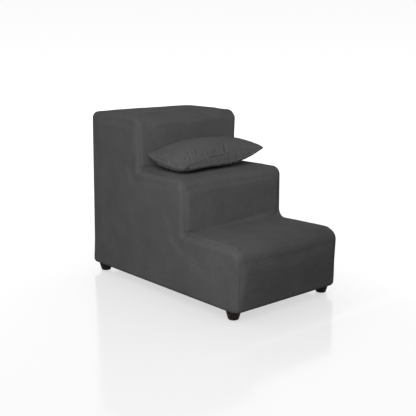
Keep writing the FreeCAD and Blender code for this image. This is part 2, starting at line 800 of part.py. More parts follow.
os.makedirs("parts", exist_ok=True)
for item in pieces:
    shape = item.Shape
    if shape.isNull() or not shape.isValid() or shape.Volume <= 0 or not shape.Solids:
        raise RuntimeError(f"{item.Label} has no sound solid")
for item in pieces:
    item.Shape.exportStep(f"parts/{item.Label}.step")
print(f"{len(pieces)} sub-parts written")
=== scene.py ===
import json
import math

import bmesh
import bpy
import numpy as np
from mathutils import Matrix, Vector, noise
from mathutils.bvhtree import BVHTree


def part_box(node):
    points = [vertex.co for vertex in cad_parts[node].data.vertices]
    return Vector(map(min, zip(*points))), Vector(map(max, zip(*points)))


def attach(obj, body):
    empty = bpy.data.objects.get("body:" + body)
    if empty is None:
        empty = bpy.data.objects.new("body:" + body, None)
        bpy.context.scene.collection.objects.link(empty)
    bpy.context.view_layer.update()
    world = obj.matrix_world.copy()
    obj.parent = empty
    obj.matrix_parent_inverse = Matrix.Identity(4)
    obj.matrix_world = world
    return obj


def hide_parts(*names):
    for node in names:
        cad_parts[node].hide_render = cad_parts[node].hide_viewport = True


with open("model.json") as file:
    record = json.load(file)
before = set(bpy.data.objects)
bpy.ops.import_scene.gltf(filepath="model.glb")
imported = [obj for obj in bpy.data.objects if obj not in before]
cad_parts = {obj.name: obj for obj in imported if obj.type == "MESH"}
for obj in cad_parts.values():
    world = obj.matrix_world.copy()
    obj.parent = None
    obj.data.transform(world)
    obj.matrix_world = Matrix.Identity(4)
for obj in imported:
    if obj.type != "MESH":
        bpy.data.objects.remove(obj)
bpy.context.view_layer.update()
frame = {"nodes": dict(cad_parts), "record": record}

# Looks of an upholstered pet stair with a loose cushion on its middle step. Everything is in
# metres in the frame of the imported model: +Y the way the steps climb, +X to the right, +Z up.

scene = bpy.context.scene


# ---------------------------------------------------------------- sizes read from the frame

def low(node, axis):
    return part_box(node)[0][axis]


def high(node, axis):
    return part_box(node)[1][axis]


X, Y, Z = 0, 1, 2
HALF = high("cover_side_right", X)
CLOTH = HALF - high("foam_side_right", X)
FRONT = low("cover_steps", Y)
BACK = high("cover_back", Y)
BASE = low("cover_steps", Z)
TOPS = [high(f"foam_tread_{step}", Z) + CLOTH for step in ("1", "2", "top")]
LINES = [FRONT] + [low(f"foam_riser_{step}", Y) - CLOTH for step in ("2", "top")]


# ---------------------------------------------------------------- mesh helpers

def new_object(name, vertices, faces):
    """An object in the scene with a mesh of its own."""
    mesh = bpy.data.meshes.new(name)
    mesh.from_pydata([tuple(v) for v in vertices], [], faces)
    mesh.update()
    item = bpy.data.objects.new(name, mesh)
    scene.collection.objects.link(item)
    return item


def get_points(item):
    points = np.empty(len(item.data.vertices) * 3)
    item.data.vertices.foreach_get("co", points)
    return points.reshape(-1, 3)


def set_points(item, points):
    item.data.vertices.foreach_set("co", np.ascontiguousarray(points).ravel())
    item.data.update()


def get_normals(item):
    normals = np.empty(len(item.data.vertices) * 3)
    item.data.vertices.foreach_get("normal", normals)
    return normals.reshape(-1, 3)


def bake_modifiers(item):
    """Applies every modifier of an object to its mesh."""
    graph = bpy.context.evaluated_depsgraph_get()
    shaped = bpy.data.meshes.new_from_object(item.evaluated_get(graph))
    item.modifiers.clear()
    item.data = shaped


def set_value(item, name, values):
    """A number per vertex, kept through subdivision and read by materials."""
    attribute = item.data.attributes.get(name) or item.data.attributes.new(name, "FLOAT", "POINT")
    attribute.data.foreach_set("value", np.asarray(values, np.float32))


def get_value(item, name):
    attribute = item.data.attributes[name]
    values = np.empty(len(item.data.vertices), np.float32)
    attribute.data.foreach_get("value", values)
    return values.astype(float)


def voxel_remesh(item, size):
    remesh = item.modifiers.new("remesh", "REMESH")
    remesh.mode = "VOXEL"
    remesh.voxel_size = size
    bake_modifiers(item)


def subdivide(item):
    finer = item.modifiers.new("finer", "SUBSURF")
    finer.levels = 1
    finer.render_levels = 1
    bake_modifiers(item)


def smoothstep(low_end, high_end, values):
    """0 up to the low end, 1 past the high end, and an even curve in between."""
    share = np.clip((values - low_end) / (high_end - low_end), 0, 1)
    return share * share * (3 - 2 * share)


SEED_SHIFT = (7.3, 3.1, 5.7)


def lumps(points, scale, seed):
    """Smooth noise at each point, from about -1 to 1."""
    shift = Vector([seed * step for step in SEED_SHIFT])
    return np.array([noise.noise(Vector(p) * scale + shift) for p in points])


def simulate(item, frames, pressure, tension, bending, pinned=None):
    """Blows a closed cloth mesh up from inside and keeps the last frame."""
    cloth = item.modifiers.new("cloth", "CLOTH")
    settings = cloth.settings
    settings.quality = 5
    settings.mass = 0.3
    settings.use_pressure = True
    settings.uniform_pressure_force = pressure
    settings.effector_weights.gravity = 0
    settings.tension_stiffness = tension
    settings.compression_stiffness = tension
    settings.shear_stiffness = tension / 3
    settings.bending_stiffness = bending
    settings.air_damping = 2
    if pinned is not None:
        group = item.vertex_groups.new(name="pinned")
        for index in np.nonzero(pinned)[0]:
            group.add([int(index)], 1.0, "REPLACE")
        settings.vertex_group_mass = "pinned"
    cloth.collision_settings.use_collision = False
    cloth.point_cache.frame_start = 1
    cloth.point_cache.frame_end = frames
    for number in range(1, frames + 1):
        scene.frame_set(number)
    bake_modifiers(item)
    scene.frame_set(1)


# ---------------------------------------------------------------- the stair's cover

# Radii of the cover's edges. The noses go from the lowest step up. The side edges are rounder
# beside the lowest step, and the crease behind each tread opens out from left to right.
NOSE_RADII = (0.036, 0.029, 0.028)
SIDE_RADIUS = 0.0165
LOW_SIDE_RADIUS = 0.0215
BACK_TOP_RADIUS = 0.0235
BOTTOM_RADIUS = 0.0105
CREASE_LEFT = 0.0035
CREASE_RIGHT = 0.0245

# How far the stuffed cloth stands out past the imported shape: the sides at the top and at both
# ends of the base, the lowest riser at its top and at its base, the middle of the top, and the
# whole cover before it is blown up.
SIDE_SWELL = -0.0005
BASE_SWELL_FRONT = 0.0042
BASE_SWELL_BACK = 0.0062
FRONT_SWELL = 0.0080
FRONT_BASE_SWELL = -0.0020
CROWN = 0.0015
START_LEVEL = 0.0018


def round_meet(a, b, radius):
    """Field of what is inside both, its convex edge rounded."""
    return np.minimum(-radius, np.maximum(a, b)) + np.hypot(
        np.maximum(radius + a, 0), np.maximum(radius + b, 0))


def round_join(a, b, radius):
    """Field of what is inside either, its concave crease rounded."""
    return np.maximum(radius, np.minimum(a, b)) - np.hypot(
        np.maximum(radius - a, 0), np.maximum(radius - b, 0))


def stair_field(points):
    """Signed distance to the covered stair, negative inside."""
    x, y, z = points[:, 0], points[:, 1], points[:, 2]
    rise = np.clip((z - BASE) / (TOPS[2] - BASE), 0, 1)
    reach = np.clip((y - FRONT) / (BACK - FRONT), 0, 1)
    base_swell = BASE_SWELL_FRONT + (BASE_SWELL_BACK - BASE_SWELL_FRONT) * reach
    half = HALF + base_swell + (SIDE_SWELL - base_swell) * rise
    low_rise = np.clip((z - BASE) / (TOPS[0] - BASE), 0, 1)
    front = FRONT - FRONT_BASE_SWELL - (FRONT_SWELL - FRONT_BASE_SWELL) * low_rise
    top = TOPS[2] + CROWN * (1 - np.clip(np.abs(x) / HALF, 0, 1) ** 2)
    crease = CREASE_LEFT + (CREASE_RIGHT - CREASE_LEFT) * smoothstep(-HALF, HALF, x)
    blocks = [round_meet(line - y, z - level, radius) for line, level, radius in zip(
        (front, LINES[1], LINES[2]), (TOPS[0], TOPS[1], top), NOSE_RADII)]
    field = round_join(blocks[0], round_join(blocks[1], blocks[2], crease), crease)
    field = round_meet(field, y - BACK, BACK_TOP_RADIUS)
    low_front = smoothstep(LINES[1], FRONT, y) * smoothstep(TOPS[1], TOPS[0], z)
    side_radius = SIDE_RADIUS + (LOW_SIDE_RADIUS - SIDE_RADIUS) * low_front
    field = round_meet(field, np.abs(x) - half, side_radius)
    return round_meet(field, BASE + START_LEVEL - z, BOTTOM_RADIUS)


SLOPE_STEP = 2e-4
LEVEL_ROUNDS = 6


def field_slope(field, points):
    """Direction of steepest rise of a field at each point."""
    slope = np.empty_like(points)
    for axis in range(3):
        shift = np.zeros(3)
        shift[axis] = SLOPE_STEP
        slope[:, axis] = field(points + shift) - field(points - shift)
    length = np.linalg.norm(slope, axis=1, keepdims=True)
    return slope / np.maximum(length, 1e-12)


def onto_field(field, points, level):
    """Moves points along the field's slope until the field there has a level."""
    for _ in range(LEVEL_ROUNDS):
        slope = field_slope(field, points)
        points = points - slope * (field(points) - level)[:, None]
    return points


# Cells of the cover's lattice: fine in a band beside each edge and crease, then wider by a
# share of the way past the band, up to coarse. The last one before an edge takes up what is
# left, from half a cell to one and a half.
FINE = 0.0038
COARSE = 0.011
FINE_BAND = 0.034
WIDENING = 0.35
LAST_CELL = 1.5


def graded(start, end):
    """Places from a start up to an end, the start itself among them, closer near both."""
    places = [start]
    while True:
        here = places[-1]
        near = min(here - start, end - here)
        step = FINE if near < FINE_BAND else min(COARSE, FINE + (near - FINE_BAND) * WIDENING)
        if here + step * LAST_CELL >= end:
            return places
        places.append(here + step)


def graded_line(stops):
    """Places through several stops, fine beside each."""
    places = []
    for start, end in zip(stops, stops[1:]):
        places += graded(start, end)
    return places + [stops[-1]]


# Corners of a cell's faces as steps in (i, j, k), anticlockwise from outside: at both ends of
# the rows, and where the cell has no neighbour, whose own step in (j, k) comes first.
LEFT_FACE = ((0, 0, 0), (0, 0, 1), (0, 1, 1), (0, 1, 0))
RIGHT_FACE = ((0, 0, 0), (0, 1, 0), (0, 1, 1), (0, 0, 1))
BARE_FACES = (
    ((-1, 0), ((0, 0, 0), (1, 0, 0), (1, 0, 1), (0, 0, 1))),
    ((1, 0), ((0, 1, 0), (0, 1, 1), (1, 1, 1), (1, 1, 0))),
    ((0, 1), ((0, 0, 1), (1, 0, 1), (1, 1, 1), (0, 1, 1))),
    ((0, -1), ((0, 0, 0), (0, 1, 0), (1, 1, 0), (1, 0, 0))),
)


def stair_lattice(name):
    """The stair as a closed block of quads, finer at its edges and creases."""
    xs = graded_line([-HALF, HALF])
    ys = graded_line([LINES[0], LINES[1], LINES[2], BACK])
    zs = graded_line([BASE] + TOPS)
    vertices = []
    index = {}
    faces = []

    def at(i, j, k):
        if (i, j, k) not in index:
            index[i, j, k] = len(vertices)
            vertices.append((xs[i], ys[j], zs[k]))
        return index[i, j, k]

    def add_face(i, j, k, corners):
        faces.append([at(i + di, j + dj, k + dk) for di, dj, dk in corners])

    def solid(j, k):
        if not (0 <= j < len(ys) - 1 and 0 <= k < len(zs) - 1):
            return False
        y = (ys[j] + ys[j + 1]) / 2
        z = (zs[k] + zs[k + 1]) / 2
        return any(y > line and z < top for line, top in zip(LINES, TOPS))

    last = len(xs) - 1
    for j in range(len(ys) - 1):
        for k in range(len(zs) - 1):
            if not solid(j, k):
                continue
            add_face(0, j, k, LEFT_FACE)
            add_face(last, j, k, RIGHT_FACE)
            bare = [corners for (dj, dk), corners in BARE_FACES if not solid(j + dj, k + dk)]
            for i in range(last):
                for corners in bare:
                    add_face(i, j, k, corners)
    return new_object(name, vertices, faces)


def soften(item, values, rounds):
    """Averages a value or place per vertex with its neighbours, several times over."""
    edges = np.empty(len(item.data.edges) * 2, int)
    item.data.edges.foreach_get("vertices", edges)
    edges = edges.reshape(-1, 2)
    counts = np.bincount(edges.ravel(), minlength=len(values)).astype(float)
    flat = values.reshape(len(values), -1)
    for _ in range(rounds):
        total = np.zeros_like(flat)
        for column in range(flat.shape[1]):
            total[:, column] += np.bincount(edges[:, 0], flat[edges[:, 1], column], len(flat))
            total[:, column] += np.bincount(edges[:, 1], flat[edges[:, 0], column], len(flat))
        flat = 0.5 * flat + 0.5 * total / counts[:, None]
    return flat.reshape(values.shape)


HEM = 0.032           # width of the hem that is turned in under the base
BASE_LAYER = 0.004    # the faces no higher than this above the base are the underside
STAPLED = 0.020       # the cloth that the staples hold still, above the base
CALM = 0.090          # the cloth above the base over which the puff grows to its full size
PUFF_LIMIT = 0.0025


def open_base(cover):
    """Takes the cover's underside away inside its turned hem."""
    shape = bmesh.new()
    shape.from_mesh(cover.data)
    gone = []
    for face in shape.faces:
        x, y, z = face.calc_center_median()
        inside = abs(x) < HALF - HEM and FRONT + HEM < y < BACK - HEM
        if inside and z < BASE + BASE_LAYER:
            gone.append(face)
    bmesh.ops.delete(shape, geom=gone, context="FACES")
    shape.to_mesh(cover.data)
    shape.free()


def make_cover():
    """The sewn cover: a rounded stair swollen a little by the foam, open under the base."""
    cover = stair_lattice("stair_cover")
    start = onto_field(stair_field, get_points(cover), START_LEVEL)
    set_points(cover, start)
    puff = np.zeros(len(start))
    held = start[:, 2] < BASE + STAPLED
    simulate(cover, frames=16, pressure=4.0, tension=18, bending=0.6, pinned=held)
    puff = stair_field(get_points(cover)) - START_LEVEL
    puff = PUFF_LIMIT * np.tanh(soften(cover, puff, rounds=3) / PUFF_LIMIT)
    puff = puff * smoothstep(BASE, BASE + CALM, start[:, 2])
    slope = field_slope(stair_field, start)
    set_points(cover, start + slope * puff[:, None])
    open_base(cover)
    shell = cover.modifiers.new("cloth_thickness", "SOLIDIFY")
    shell.thickness = CLOTH
    shell.offset = -1
    bake_modifiers(cover)
    cover.data.shade_smooth()
    return cover


cover = make_cover()
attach(cover, "frame")
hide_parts("cover_steps", "cover_side_left", "cover_side_right", "cover_back")


# ---------------------------------------------------------------- foam under the cover

def copy_node(node, name):
    """A new piece with a CAD node's shape, in place."""
    source = frame["nodes"][node]
    item = bpy.data.objects.new(name, source.data.copy())
    item.data.transform(source.matrix_world)
    scene.collection.objects.link(item)
    return item


FOAM_VOXEL = 0.0058
FOAM_GAP = 0.0004     # left between the foam and the cloth
SKIN_DEEP = 0.012     # foam closer to the cover's outside than this is fitted to it


def fit_foam(node, skin):
    """A foam slab that follows the inside of the cover, its corners pressed round."""
    foam = copy_node(node, f"{node}_pad")
    voxel_remesh(foam, FOAM_VOXEL)
    points = get_points(foam)
    clear = CLOTH + FOAM_GAP
    close = stair_field(points) > -SKIN_DEEP
    for number in np.nonzero(close)[0]:
        spot, normal, _, _ = skin.find_nearest(Vector(points[number]))
        depth = (spot - Vector(points[number])).dot(normal)
        if depth < clear:
            points[number] -= np.array(normal) * (clear - depth)
    set_points(foam, points)
    foam.data.shade_smooth()
    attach(foam, "frame")
    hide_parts(node)
    return foam


def outer_skin(item):
    """Search tree of a shell's outer layer, which Solidify keeps as its first faces."""
    half = len(item.data.vertices) // 2
    faces = [tuple(face.vertices) for face in item.data.polygons if max(face.vertices) < half]
    return BVHTree.FromPolygons([vertex.co.copy() for vertex in item.data.vertices][:half], faces)


skin = outer_skin(cover)
FOAMS = sorted(name for name in frame["nodes"] if name.startswith("foam_"))
foams = [fit_foam(name, skin) for name in FOAMS]


# ---------------------------------------------------------------- the cushion

# The cushion's own axes: u along the step, v the way the steps climb, w up from its seam.
# s and t are a point's u and v on the flat panels, from -1 at the left and near seams to 1.
PLACE = Vector((-0.0120, -0.0040, low("cushion_cover_top", Z)))
TURN = math.radians(3.3)
CUSHION_HALF = (0.1680, 0.0863)
CUSHION_RISE = high("cushion_cover_top", Z) - PLACE.z
CUSHION_SINK = PLACE.z - low("cushion_cover_bottom", Z)

# The two flat panels, sewn edge to edge with a narrow flange outside the stitching.
PANEL_HALF = (0.176, 0.101)
PANEL_CELL = 0.0038
PANEL_GAP = 0.004     # of each panel from their middle plane before they are blown up
FLANGE = 0.0045
FLANGE_HALF = 0.0005  # half its thickness

# The share by which each side of the seam is drawn in halfway between its corners.
LEFT_PULL, RIGHT_PULL = -0.034, 0.012
FRONT_PULL, BACK_PULL = 0.136, 0.075

# How evenly the grid lines spread towards the seam, and how soon the stuffing fills the
# cushion inside the seam: the lower, the sooner. The underside fills up towards the back.
EDGE_SHARE = 0.35
FULLNESS_ABOVE = 0.52
FULLNESS_BELOW = 0.62
RISE_SHARE = 0.922
NEAR_SINK = 0.45
SINK_FROM, SINK_TO = -1.1, 0.45

# How far the seam stands above the cushion's middle plane at its corners, at the middle of
# its two ends and at the middle of its near side, and the place from which each of them grows
# towards its edge, as a share of the half from the middle.
FAR_LEFT, NEAR_LEFT, NEAR_RIGHT, FAR_RIGHT = 0.0047, -0.0165, 0.0095, 0.0044
LEFT_END, RIGHT_END, NEAR_SIDE = -0.0178, 0.0075, -0.0255
LEFT_FROM, RIGHT_FROM, SIDES_FROM = 0.15, 0.1, -0.3

RIPPLE_LIMIT = 0.0016
STEP_CLEAR = 0.0006   # kept between the cushion's underside and its lowest packed point
RESTING = 0.030       # depth below the seam's plane past which wrinkles fade out on the step


def flat_pillow(name):
    """Two flat panels that share their edge, a little apart so that pressure can part them."""
    columns = int(round(2 * PANEL_HALF[0] / PANEL_CELL))
    rows = int(round(2 * PANEL_HALF[1] / PANEL_CELL))
    vertices = []
    grid = []
    index = {}
    for layer in (1, -1):
        for i in range(columns + 1):
            for j in range(rows + 1):
                edge = i in (0, columns) or j in (0, rows)
                if edge and layer == -1:
                    index[layer, i, j] = index[1, i, j]
                    continue
                index[layer, i, j] = len(vertices)
                s = 2 * i / columns - 1
                t = 2 * j / rows - 1
                height = 0 if edge else PANEL_GAP * layer
                vertices.append((PANEL_HALF[0] * s, PANEL_HALF[1] * t, height))
                grid.append((s, t, 0 if edge else layer))
    faces = []
    for layer in (1, -1):
        for i in range(columns):
            for j in range(rows):
                face = [index[layer, i, j], index[layer, i + 1, j],
                        index[layer, i + 1, j + 1], index[layer, i, j + 1]]
                faces.append(face if layer == 1 else face[::-1])
    return new_object(name, vertices, faces), np.array(grid)


def spread(share):
    """Place of a pillow's grid line between its middle, 0, and its seam, 1."""
    return (1 - EDGE_SHARE) * np.sin(math.pi / 2 * share) + EDGE_SHARE * share


def seam_height(s, t):
    """How far the seam stands above or below the cushion's middle plane."""
    left, right = smoothstep(LEFT_FROM, 1, -s), smoothstep(RIGHT_FROM, 1, s)
    near, far = smoothstep(SIDES_FROM, 1, -t), smoothstep(SIDES_FROM, 1, t)
    corners = left * (FAR_LEFT * far + NEAR_LEFT * near)
    corners = corners + right * (NEAR_RIGHT * near + FAR_RIGHT * far)
    ends = (RIGHT_END * right + LEFT_END * left) * (1 - t * t)
    return corners + ends + NEAR_SIDE * near * (1 - s * s)


def to_world(points):
    """From the cushion's own axes to its place on the step."""
    c, s = math.cos(TURN), math.sin(TURN)
    x = PLACE.x + points[:, 0] * c - points[:, 1] * s
    y = PLACE.y + points[:, 0] * s + points[:, 1] * c
    return np.column_stack([x, y, PLACE.z + points[:, 2]])


FOLD_ENDS = 0.35      # share of a fold's height that is left at its ends
FOLD_PAST = 0.3       # how far below the seam, in layers, the upper panel's folds fade out


def fold(points, start, end, width, height):
    """A ridge, or a furrow if its height is negative, that fades towards both its ends."""
    start, end = np.array(start), np.array(end)
    along = end - start
    share = np.clip((points - start) @ along / (along @ along), 0, 1)
    off = np.linalg.norm(points - start - share[:, None] * along, axis=1)
    fade = FOLD_ENDS + (1 - FOLD_ENDS) * np.clip(4 * share * (1 - share), 0, 1)
    return height * fade * np.exp(-(off / width) ** 2)


# Folds of the upper panel: start, end, width and height, all in the cushion's own axes.
FOLDS = (
    ((0.031, -0.045, 0.029), (0.016, -0.066, 0.007), 0.0031, -0.0039),
    ((0.017, -0.047, 0.028), (0.005, -0.064, 0.009), 0.0033, 0.0023),
    ((-0.094, -0.034, 0.027), (-0.111, -0.061, 0.006), 0.0035, 0.0026),
    ((-0.087, -0.042, 0.025), (-0.103, -0.063, 0.006), 0.0029, -0.0018),
    ((-0.146, -0.002, 0.016), (-0.165, -0.026, -0.004), 0.0029, 0.0029),
    ((-0.142, -0.012, 0.017), (-0.163, -0.037, -0.005), 0.0029, -0.0023),
    ((-0.148, -0.054, -0.001), (-0.126, -0.037, 0.017), 0.0028, 0.0035),
    ((-0.126, -0.037, 0.017), (-0.140, -0.061, -0.001), 0.0028, 0.0035),
    ((-0.132, -0.044, 0.011), (-0.146, -0.059, -0.002), 0.0024, -0.0043),
    ((-0.135, -0.062, -0.000), (-0.113, -0.046, 0.017), 0.0028, 0.0035),
    ((-0.113, -0.046, 0.017), (-0.123, -0.065, 0.001), 0.0028, 0.0035),
    ((-0.118, -0.052, 0.012), (-0.131, -0.064, -0.001), 0.0024, -0.0043),
    ((-0.063, -0.069, 0.002), (0.015, -0.068, 0.002), 0.0029, 0.0029),
    ((-0.066, -0.071, -0.003), (0.013, -0.070, -0.003), 0.0029, -0.0035),
    ((-0.055, -0.073, -0.010), (0.029, -0.072, -0.005), 0.0029, 0.0023),
    ((-0.058, -0.065, 0.009), (0.001, -0.064, 0.009), 0.0029, -0.0023),
    ((-0.169, -0.083, -0.019), (-0.143, -0.075, -0.012), 0.0031, 0.0044),
    ((-0.143, -0.075, -0.012), (-0.113, -0.073, -0.008), 0.0031, 0.0039),
    ((-0.113, -0.073, -0.008), (-0.049, -0.072, -0.004), 0.0031, 0.0023),
    ((-0.168, -0.067, -0.017), (-0.149, -0.066, -0.007), 0.0029, -0.0034),
    ((-0.149, -0.066, -0.007), (-0.113, -0.069, -0.002), 0.0029, -0.0035),
    ((-0.145, -0.080, -0.020), (-0.090, -0.075, -0.013), 0.0029, -0.0023),
    ((-0.171, 0.068, -0.006), (-0.173, 0.033, -0.011), 0.0033, 0.0031),
    ((-0.173, 0.033, -0.011), (-0.174, -0.007, -0.021), 0.0031, 0.0023),
    ((-0.171, 0.043, -0.005), (-0.172, -0.004, -0.012), 0.0029, -0.0021),
    ((-0.171, -0.004, -0.009), (-0.174, -0.021, -0.022), 0.0029, 0.0029),
    ((-0.170, -0.023, -0.011), (-0.173, -0.041, -0.021), 0.0029, -0.0029),
    ((-0.166, -0.040, -0.008), (-0.170, -0.060, -0.018), 0.0029, 0.0029),
    ((-0.162, 0.082, 0.008), (-0.154, 0.062, 0.013), 0.0029, -0.0023),
    ((0.117, -0.030, 0.031), (0.160, -0.083, 0.007), 0.0027, 0.0023),
    ((0.097, -0.042, 0.028), (0.150, -0.081, 0.004), 0.0027, -0.0023),
    ((0.092, -0.068, 0.009), (0.136, -0.079, -0.000), 0.0029, -0.0026),
    ((0.079, -0.071, 0.001), (0.114, -0.077, -0.006), 0.0029, 0.0021),
    ((0.127, -0.056, 0.021), (0.116, -0.071, 0.007), 0.0033, -0.0016),
)

# The opening for the zip in the far seam: half its length, how far back it lies, half its
# height and the cloth around it.
ZIP_HALF = 0.0925
ZIP_DEEP = 0.0732
ZIP_HIGH = 0.0052
ZIP_LIP = 0.002

# The stitched groove inside the flange and the puckers beside it: depth or height, width,
# distance from the edge and, for the puckers, their pitch along the seam.
GROOVE_DEEP, GROOVE_WIDE, GROOVE_IN = 0.0009, 0.0017, 0.001
PUCKER_HIGH, PUCKER_WIDE, PUCKER_IN, PUCKER_PITCH = 0.0006, 0.007, 0.011, 0.0125
UNEVEN_SCALE, UNEVEN_SEED, UNEVEN_PHASE = 26, 5, 5
APART = 3             # keeps the ends' noise apart from the long sides'


def seam_relief(s, t):
    """The stitched groove inside the cushion's flat edge, and the small puckers beside it."""
    from_ends = (1 - np.abs(s)) * PANEL_HALF[0]
    from_sides = (1 - np.abs(t)) * PANEL_HALF[1]
    inward = np.minimum(from_ends, from_sides)
    along = np.where(from_ends < from_sides, t * PANEL_HALF[1] + APART, s * PANEL_HALF[0])
    line = np.column_stack([along, along * 0, along * 0])
    uneven = lumps(line, UNEVEN_SCALE, UNEVEN_SEED)
    groove = -GROOVE_DEEP * np.exp(-((inward - FLANGE - GROOVE_IN) / GROOVE_WIDE) ** 2)
    pucker = np.sin(math.tau * along / PUCKER_PITCH + UNEVEN_PHASE * uneven) * (0.6 + uneven)
    reach = np.exp(-((inward - PUCKER_IN) / PUCKER_WIDE) ** 2)
    return groove + PUCKER_HIGH * pucker * reach


def make_cushion():
    """A stuffed knife-edge cushion, blown up as cloth and laid on the middle step.

    Its layer is 1 on the upper panel, -1 on the lower one and 0 on the edge that they share.
    """
    cushion, grid = flat_pillow("cushion_case")
    s, t, layer = grid.T
    ripple = np.zeros(len(grid))
    simulate(cushion, frames=22, pressure=7.0, tension=8, bending=0.08)
    blown = get_points(cushion)
    ripple = ((blown - soften(cushion, blown, rounds=16)) * get_normals(cushion)).sum(1)
    ripple = RIPPLE_LIMIT * np.tanh(ripple / RIPPLE_LIMIT)
    u = CUSHION_HALF[0] * spread(s) * (1 - np.where(s < 0, LEFT_PULL, RIGHT_PULL) * (1 - t * t))
    v = CUSHION_HALF[1] * spread(t) * (1 - np.where(t < 0, FRONT_PULL, BACK_PULL) * (1 - s * s))
    s_in = np.clip(np.abs(s) / (1 - FLANGE / PANEL_HALF[0]), 0, 1)
    t_in = np.clip(np.abs(t) / (1 - FLANGE / PANEL_HALF[1]), 0, 1)
    swell = np.maximum(np.cos(math.pi / 2 * s_in) * np.cos(math.pi / 2 * t_in), 0)
    sink = NEAR_SINK + (1 - NEAR_SINK) * smoothstep(SINK_FROM, SINK_TO, t)
    above = RISE_SHARE * CUSHION_RISE * swell ** FULLNESS_ABOVE
    below = -CUSHION_SINK * swell ** FULLNESS_BELOW * sink
    w = np.where(layer > 0, above, below) * (layer != 0) + FLANGE_HALF * layer
    w = w + seam_height(s, t) * (1 - 0.5 * swell)
    set_points(cushion, np.column_stack([u, v, w]))
    for name, values in (("ripple", ripple), ("layer", layer), ("s", s), ("t", t)):
        set_value(cushion, name, values)
    subdivide(cushion)
    points = get_points(cushion)
    layer, s, t = (get_value(cushion, name) for name in ("layer", "s", "t"))
    off_step = smoothstep(-CUSHION_SINK, -RESTING, points[:, 2])
    relief = get_value(cushion, "ripple") * off_step * smoothstep(0, 0.6, np.abs(layer))
    relief += seam_relief(s, t) * off_step * np.clip(np.abs(layer) * 2, 0, 1)
    for line in FOLDS:
        relief += fold(points, *line) * np.clip(layer + FOLD_PAST, 0, 1)
    points = points + get_normals(cushion) * relief[:, None]
    points[:, 2] = np.maximum(points[:, 2], STEP_CLEAR - CUSHION_SINK)
    slot = np.abs(points[:, 0]) < ZIP_HALF
    slot &= (np.abs(points[:, 2]) < ZIP_HIGH + ZIP_LIP) & (points[:, 1] > 0)
    points[slot, 1] = np.minimum(points[slot, 1], ZIP_DEEP)
    set_points(cushion, to_world(points))
    cushion.data.shade_smooth()
    return cushion


FILLING_INSET = 0.0028
FILLING_LUMP = 0.0008
FILLING_SHARE = (0.94, 0.94, 0.97)


def make_filling(case):
    """The stuffing: the case's shape, a little smaller and lumpier."""
    filling = bpy.data.objects.new("cushion_stuffing", case.data.copy())
    scene.collection.objects.link(filling)
    points = soften(filling, get_points(filling), rounds=2)
    lump = FILLING_LUMP * lumps(points, scale=45, seed=3)
    points = points - get_normals(filling) * (FILLING_INSET + lump)[:, None]
    middle = np.array(PLACE)
    set_points(filling, middle + (points - middle) * FILLING_SHARE)
    return filling


cushion = make_cushion()
filling = make_filling(cushion)
for piece in (cushion, filling):
    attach(piece, "cushion")
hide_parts("cushion_cover_top", "cushion_cover_bottom")
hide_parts("cushion_filling")


# ---------------------------------------------------------------- dust cover under the base

SHEET_CELLS = (64, 110)
SHEET_THICK = 0.0004
TURNED_IN = 0.010     # width of the folded edge, which hangs lower by one thickness
SLACK_FROM, SLACK_TO = 0.03, 0.12
SAG, RIDGE, CREPE = 0.0026, 0.0012, 0.0002


def make_dust_sheet():
    """Thin nonwoven cloth stapled under the base, its raw edges folded in, slack in between."""
    (x0, y0, z0), (x1, y1, z1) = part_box("dust_cover")
    columns, rows = SHEET_CELLS
    vertices = []
    for i in range(columns + 1):
        for j in range(rows + 1):
            x = x0 + (x1 - x0) * i / columns
            y = y0 + (y1 - y0) * j / rows
            inward = min(x - x0, x1 - x, y - y0, y1 - y)
            slack = float(smoothstep(SLACK_FROM, SLACK_TO, np.array(inward)))
            ridges = noise.noise(Vector((x * 16, y * 9, 4.0)))
            fine = noise.noise(Vector((x * 60, y * 48, 1.0)))
            fold_step = SHEET_THICK if inward < TURNED_IN else 0
            z = (z0 + z1) / 2 - SAG * slack + (RIDGE * ridges + CREPE * fine) * slack
            vertices.append((x, y, z - fold_step))
    faces = []
    for i in range(columns):
        for j in range(rows):
            first = i * (rows + 1) + j
            faces.append((first, first + 1, first + rows + 2, first + rows + 1))
    sheet = new_object("dust_sheet", vertices, faces)
    layer = sheet.modifiers.new("thickness", "SOLIDIFY")
    layer.thickness = SHEET_THICK
    layer.offset = 0
    bake_modifiers(sheet)
    sheet.data.shade_smooth()
    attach(sheet, "frame")
    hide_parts("dust_cover")
    return sheet


dust_sheet = make_dust_sheet()


# ---------------------------------------------------------------- materials

